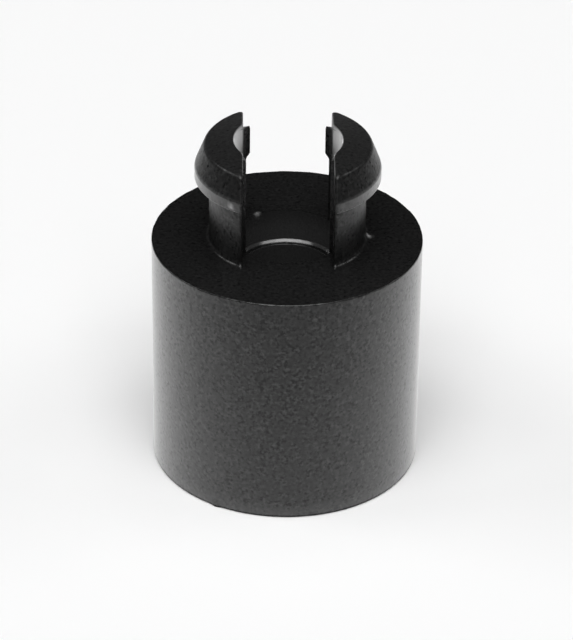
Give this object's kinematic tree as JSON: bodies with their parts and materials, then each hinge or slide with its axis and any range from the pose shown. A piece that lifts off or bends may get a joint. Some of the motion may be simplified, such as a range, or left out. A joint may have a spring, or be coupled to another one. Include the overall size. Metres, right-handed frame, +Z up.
{
  "type": "snap-in circuit board support",
  "caption": "Round hollow spacer with a split, barbed stem that snaps into a circuit board's hole and holds the board clear of its chassis.",
  "frame": {"origin": "centre of the base, on the surface that the spacer stands on", "axes": "+Z up the bore towards the prongs, +X through the middle of a prong, +Y along the slot"},
  "size_m": [0.007, 0.007, 0.0092],
  "materials": {
    "black_nylon": "satin, as moulded"
  },
  "bodies": {
    "root": {"board_support": "black_nylon"}
  },
  "joints": []
}
